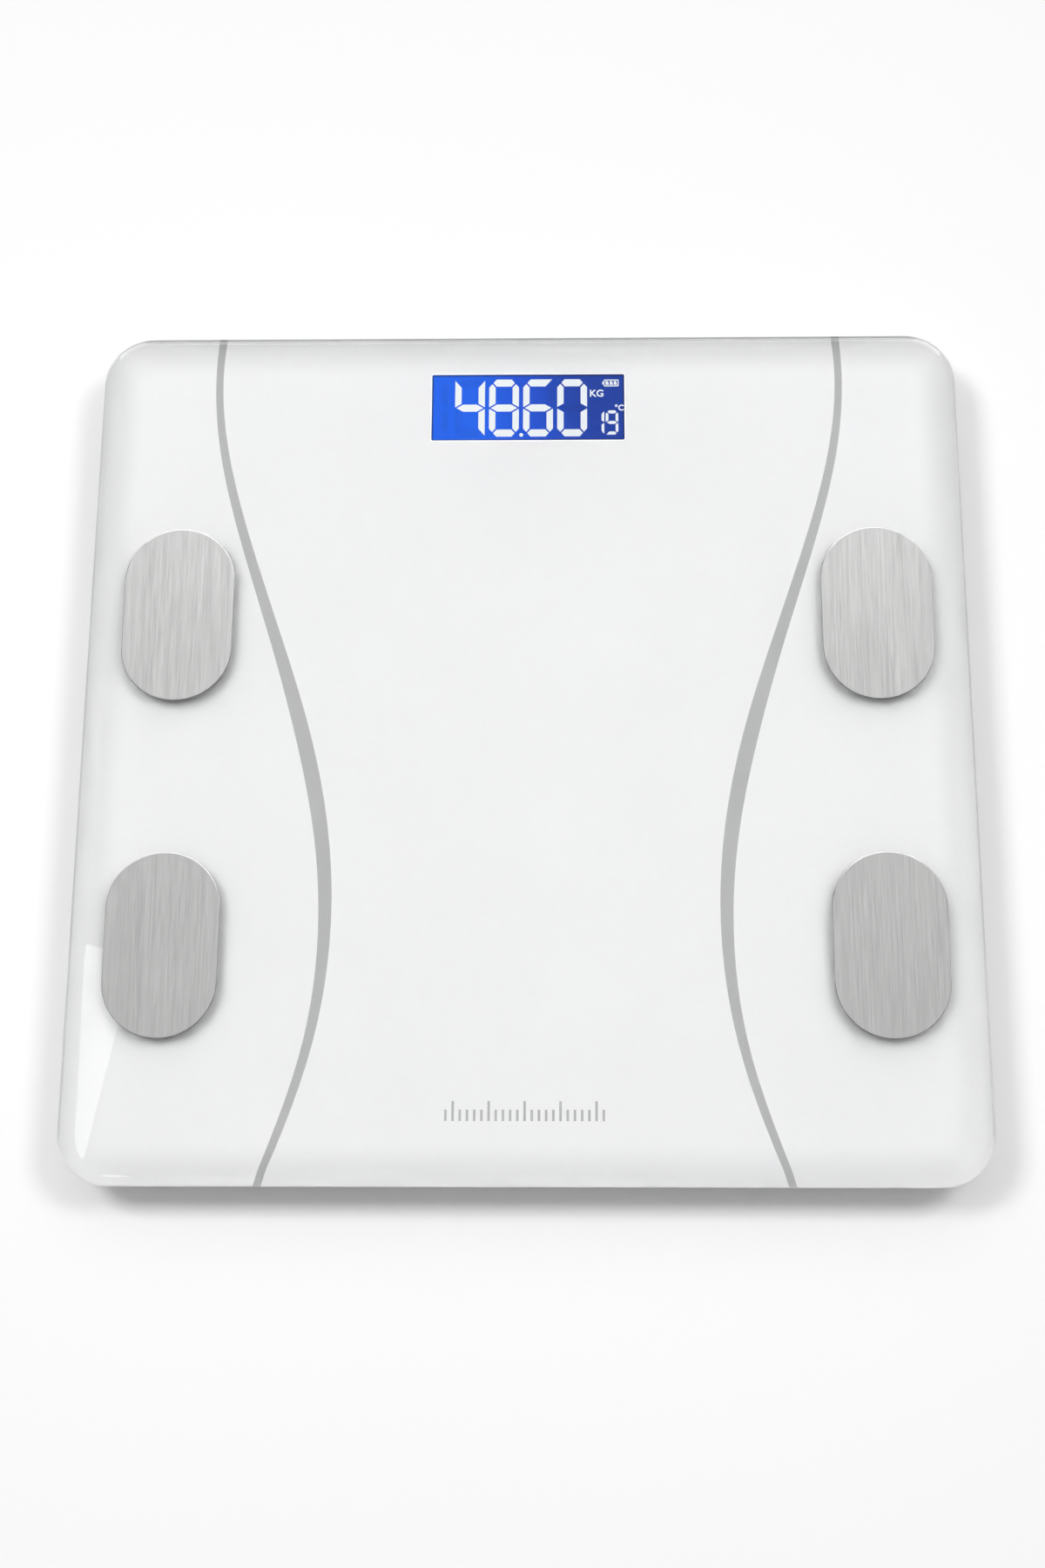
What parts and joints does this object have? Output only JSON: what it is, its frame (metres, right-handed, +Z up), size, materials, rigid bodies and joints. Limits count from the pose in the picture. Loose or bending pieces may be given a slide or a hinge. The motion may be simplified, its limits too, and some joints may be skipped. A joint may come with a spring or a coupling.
{
  "type": "bathroom scale",
  "caption": "Square glass-topped electronic bathroom scale with oval steel body-composition electrodes, a backlit display, corner feet on load cells and a battery bay underneath.",
  "frame": {"origin": "on the floor under the middle of the platform", "axes": "+Z up, +Y away from the user towards the display, +X to the user's right"},
  "size_m": [0.26, 0.26, 0.0244],
  "materials": {
    "clear_glass": "polished, tempered",
    "white_print": "smooth ceramic ink",
    "grey_print": "smooth ink with a fine metallic flake",
    "foam_tape": "foam",
    "electrode_steel": "brushed lengthways",
    "white_plastic": "fine moulded texture",
    "grey_plastic": "satin",
    "black_plastic": "satin",
    "pad_rubber": "matt",
    "cell_steel": "blanked sheet",
    "gauge_sealant": "soft sealant",
    "lead_insulation": "extruded",
    "board_laminate": "solder mask",
    "black_resin": "poured resin",
    "plated_steel": "nickel plated",
    "display_glass": "lit from behind",
    "light_guide": "moulded",
    "contact_rubber": "matt",
    "battery_sleeve": "printed film",
    "label_film": "paper film"
  },
  "bodies": {
    "platform": {"glass_platform": "clear_glass", "printed_backing": "white_print", "printed_stripe_left": "grey_print", "printed_stripe_right": "grey_print", "printed_tick_row": "grey_print", "adhesive_frame": "foam_tape", "base_shell": "white_plastic", "rating_label": "label_film", "lcd_panel": "display_glass", "backlight_guide": "light_guide", "zebra_strip": "contact_rubber", "lcd_frame": "black_plastic", "circuit_board": "board_laminate", "board_screws": "plated_steel", "controller_chip": "black_resin", "unit_switch": "black_plastic", "battery_rear": "battery_sleeve", "battery_front": "battery_sleeve", "battery_contact_pair": "plated_steel", "battery_contact_positive": "plated_steel", "battery_contact_negative": "plated_steel", "battery_leads": "lead_insulation", "electrode_front_left": "electrode_steel", "electrode_spring_front_left": "plated_steel", "electrode_lead_front_left": "lead_insulation", "load_cell_front_left": "cell_steel", "strain_gauge_front_left": "gauge_sealant", "sensor_cable_front_left": "lead_insulation", "electrode_front_right": "electrode_steel", "electrode_spring_front_right": "plated_steel", "electrode_lead_front_right": "lead_insulation", "load_cell_front_right": "cell_steel", "strain_gauge_front_right": "gauge_sealant", "sensor_cable_front_right": "lead_insulation", "electrode_rear_left": "electrode_steel", "electrode_spring_rear_left": "plated_steel", "electrode_lead_rear_left": "lead_insulation", "load_cell_rear_left": "cell_steel", "strain_gauge_rear_left": "gauge_sealant", "sensor_cable_rear_left": "lead_insulation", "electrode_rear_right": "electrode_steel", "electrode_spring_rear_right": "plated_steel", "electrode_lead_rear_right": "lead_insulation", "load_cell_rear_right": "cell_steel", "strain_gauge_rear_right": "gauge_sealant", "sensor_cable_rear_right": "lead_insulation"},
    "foot_front_left": {"foot_front_left": "white_plastic", "foot_pad_front_left": "pad_rubber"},
    "foot_front_right": {"foot_front_right": "white_plastic", "foot_pad_front_right": "pad_rubber"},
    "foot_rear_left": {"foot_rear_left": "white_plastic", "foot_pad_rear_left": "pad_rubber"},
    "foot_rear_right": {"foot_rear_right": "white_plastic", "foot_pad_rear_right": "pad_rubber"},
    "unit_button": {"unit_button": "grey_plastic"},
    "switch_plunger": {"switch_plunger": "black_plastic"},
    "battery_cover": {"battery_cover": "white_plastic"},
    "battery_latch": {"battery_latch": "white_plastic"}
  },
  "joints": [
    {"name": "foot_front_left_slide", "type": "slide", "parent": "platform", "child": "foot_front_left", "axis": [0, 0, 1], "range_m": [-0.0005, 0]},
    {"name": "foot_front_right_slide", "type": "slide", "parent": "platform", "child": "foot_front_right", "axis": [0, 0, 1], "range_m": [-0.0005, 0]},
    {"name": "foot_rear_left_slide", "type": "slide", "parent": "platform", "child": "foot_rear_left", "axis": [0, 0, 1], "range_m": [-0.0005, 0]},
    {"name": "foot_rear_right_slide", "type": "slide", "parent": "platform", "child": "foot_rear_right", "axis": [0, 0, 1], "range_m": [-0.0005, 0]},
    {"name": "unit_button_press", "type": "slide", "parent": "platform", "child": "unit_button", "axis": [0, 0, 1], "range_m": [0, 0.0004], "stiffness_N_per_m": 800, "springref_m": -0.0005},
    {"name": "switch_plunger_press", "type": "slide", "parent": "platform", "child": "switch_plunger", "axis": [0, 0, 1], "range_m": [0, 0.0004]},
    {"name": "battery_cover_hinge", "type": "hinge", "parent": "platform", "child": "battery_cover", "pos_m": [-0.0254, 0.035, 0.00495], "axis": [0, 1, 0], "range_deg": [0, 100]},
    {"name": "battery_latch_slide", "type": "slide", "parent": "battery_cover", "child": "battery_latch", "axis": [-1, 0, 0], "range_m": [0, 0.001], "stiffness_N_per_m": 300, "springref_m": -0.0008}
  ],
  "couplings": [
    {"joint": "switch_plunger_press", "follows": "unit_button_press", "ratio": 1}
  ]
}
